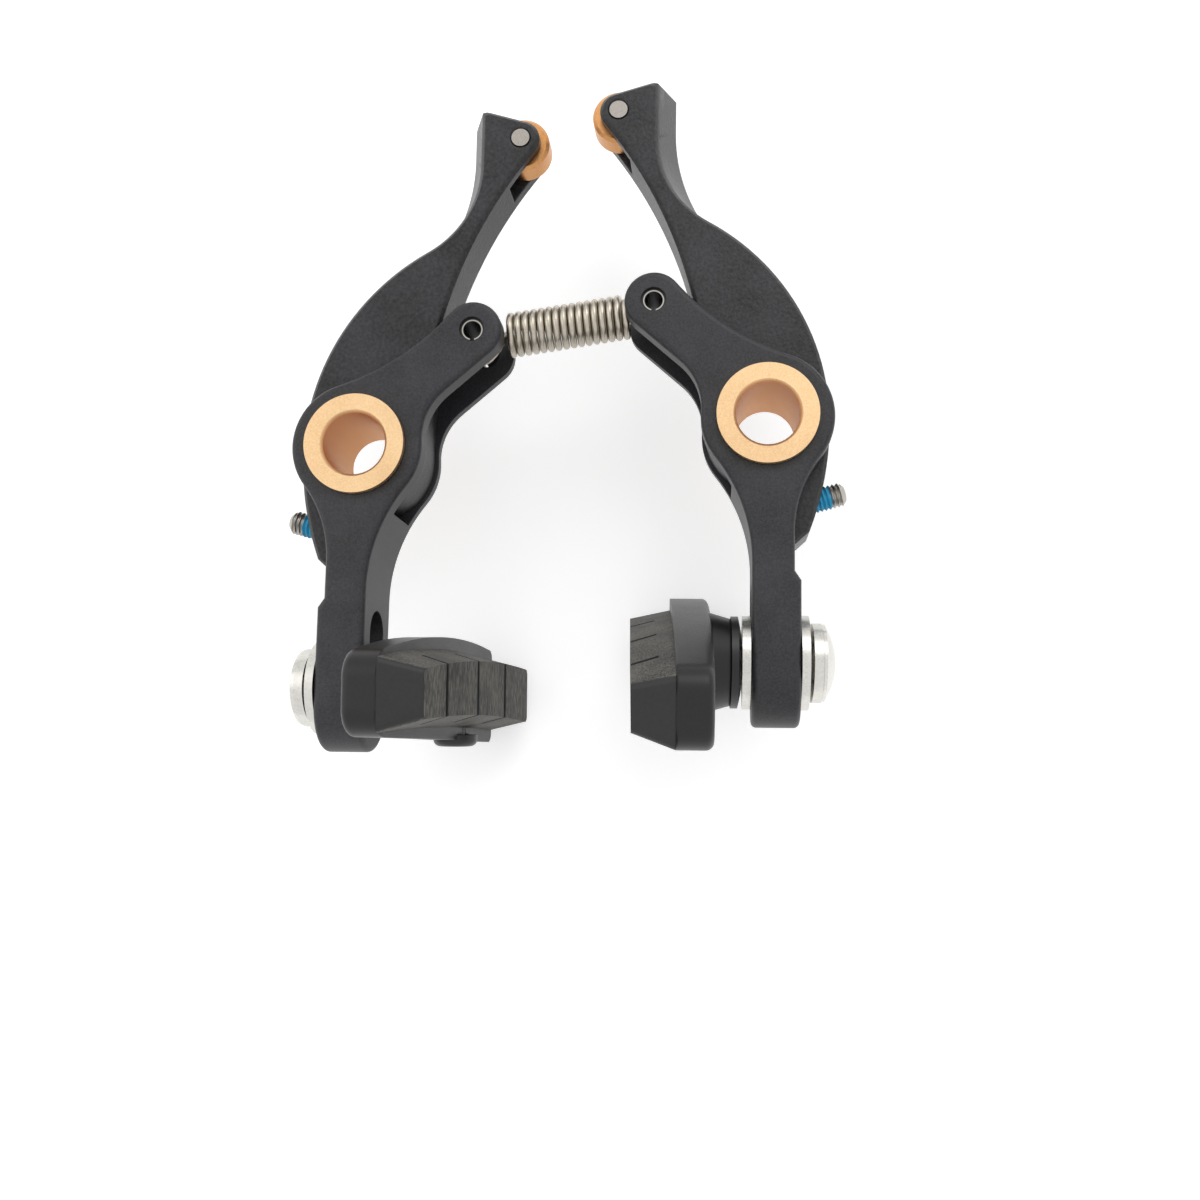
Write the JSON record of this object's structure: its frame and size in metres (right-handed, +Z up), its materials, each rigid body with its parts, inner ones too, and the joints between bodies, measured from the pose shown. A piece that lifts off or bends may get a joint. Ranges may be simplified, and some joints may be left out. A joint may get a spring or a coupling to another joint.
{
  "type": "caliper brake",
  "caption": "Direct-mount bicycle rim brake: two black forked arms with rollered levers, bronze bushes, a coil return spring and grooved pads in holders.",
  "frame": {"origin": "midway between the two pivot axes, on the rear seating plane of the bushes", "axes": "+X from the left to the right pivot as seen from the front, +Y towards the frame or fork, +Z up towards the rollers"},
  "size_m": [0.0913, 0.0568, 0.112],
  "materials": {
    "black_alloy": "black satin anodised, fine blasted grain",
    "bronze": "pale bronze, turned",
    "roller_bronze": "copper-coloured bronze, turned",
    "pin_steel": "bright satin",
    "spring_steel": "drawn stainless wire",
    "screw_steel": "plain steel with a blue thread-locking patch",
    "bolt_steel": "bright",
    "washer_silver": "bright satin",
    "black_steel": "black satin",
    "holder_black": "matte black",
    "pad_rubber": "matte moulded"
  },
  "bodies": {
    "pivot_bushes": {"left_pivot_bush": "bronze", "right_pivot_bush": "bronze", "return_spring": "spring_steel"},
    "left_arm_body": {"left_brake_arm": "black_alloy", "left_spring_pin": "black_steel"},
    "left_lever_body": {"left_lever": "black_alloy", "left_roller_pin": "pin_steel"},
    "left_roller_body": {"left_roller": "roller_bronze"},
    "left_screw_body": {"left_set_screw": "screw_steel"},
    "left_pad_seat": {"left_inner_cup_washer": "washer_silver", "left_outer_cup_washer": "washer_silver"},
    "left_pad_swivel": {"left_inner_ball_washer": "black_steel", "left_outer_ball_washer": "washer_silver"},
    "left_pad_body": {"left_pad_bolt": "bolt_steel", "left_pad_holder": "holder_black", "left_brake_pad": "pad_rubber", "left_pad_keeper_screw": "black_steel"},
    "right_arm_body": {"right_brake_arm": "black_alloy", "right_spring_pin": "black_steel"},
    "right_lever_body": {"right_lever": "black_alloy", "right_roller_pin": "pin_steel"},
    "right_roller_body": {"right_roller": "roller_bronze"},
    "right_screw_body": {"right_set_screw": "screw_steel"},
    "right_pad_seat": {"right_inner_cup_washer": "washer_silver", "right_outer_cup_washer": "washer_silver"},
    "right_pad_swivel": {"right_inner_ball_washer": "black_steel", "right_outer_ball_washer": "washer_silver"},
    "right_pad_body": {"right_pad_bolt": "bolt_steel", "right_pad_holder": "holder_black", "right_brake_pad": "pad_rubber", "right_pad_keeper_screw": "black_steel"}
  },
  "joints": [
    {"name": "left_arm_pivot", "type": "hinge", "parent": "pivot_bushes", "child": "left_arm_body", "pos_m": [-0.0327, -0.00775, 0], "axis": [0, 1, 0], "range_deg": [-8, 3], "stiffness_Nm_per_rad": 1.6, "deforming": ["return_spring"]},
    {"name": "left_lever_set", "type": "hinge", "parent": "left_arm_body", "child": "left_lever_body", "pos_m": [-0.0327, -0.0072, 0], "axis": [0, 1, 0], "range_deg": [-3, 0.8]},
    {"name": "left_roller_spin", "type": "hinge", "parent": "left_lever_body", "child": "left_roller_body", "pos_m": [-0.00456, -0.0072, 0.05126], "axis": [0, 1, 0], "continuous": true},
    {"name": "left_screw_feed", "type": "slide", "parent": "left_lever_body", "child": "left_screw_body", "axis": [-0.9483, 0, 0.3173], "range_m": [-0.0002, 0.00075]},
    {"name": "left_pad_height", "type": "slide", "parent": "left_arm_body", "child": "left_pad_seat", "axis": [0.0698, 0, 0.9976], "range_m": [-0.0025, 0.005]},
    {"name": "left_pad_toe", "type": "hinge", "parent": "left_pad_seat", "child": "left_pad_swivel", "pos_m": [-0.03676, -0.00775, -0.03801], "axis": [0.0698, 0, 0.9976], "range_deg": [-0.6, 8.4]},
    {"name": "left_pad_pitch", "type": "hinge", "parent": "left_pad_swivel", "child": "left_pad_body", "pos_m": [-0.03676, -0.00775, -0.03801], "axis": [0.9953, -0.068, -0.0696], "range_deg": [-23.2, 16.8]},
    {"name": "right_arm_pivot", "type": "hinge", "parent": "pivot_bushes", "child": "right_arm_body", "pos_m": [0.0327, -0.00775, 0], "axis": [0, 1, 0], "range_deg": [-3, 8], "stiffness_Nm_per_rad": 1.6, "deforming": ["return_spring"]},
    {"name": "right_lever_set", "type": "hinge", "parent": "right_arm_body", "child": "right_lever_body", "pos_m": [0.0327, -0.0072, 0], "axis": [0, 1, 0], "range_deg": [-0.8, 3]},
    {"name": "right_roller_spin", "type": "hinge", "parent": "right_lever_body", "child": "right_roller_body", "pos_m": [0.01196, -0.0072, 0.05468], "axis": [0, 1, 0], "continuous": true},
    {"name": "right_screw_feed", "type": "slide", "parent": "right_lever_body", "child": "right_screw_body", "axis": [0.9833, 0, 0.1822], "range_m": [-0.0002, 0.00075]},
    {"name": "right_pad_height", "type": "slide", "parent": "right_arm_body", "child": "right_pad_seat", "axis": [0.0698, 0, 0.9976], "range_m": [-0.0025, 0.005]},
    {"name": "right_pad_toe", "type": "hinge", "parent": "right_pad_seat", "child": "right_pad_swivel", "pos_m": [0.03143, -0.00775, -0.03821], "axis": [0.0698, 0, 0.9976], "range_deg": [-6.4, 2.6]},
    {"name": "right_pad_pitch", "type": "hinge", "parent": "right_pad_swivel", "child": "right_pad_body", "pos_m": [0.03143, -0.00775, -0.03821], "axis": [0.997, 0.0332, -0.0697], "range_deg": [-36, 4]}
  ],
  "couplings": [
    {"joint": "left_screw_feed", "follows": "left_lever_set", "m_per_rad": -0.013581},
    {"joint": "right_screw_feed", "follows": "right_lever_set", "m_per_rad": 0.013581}
  ]
}
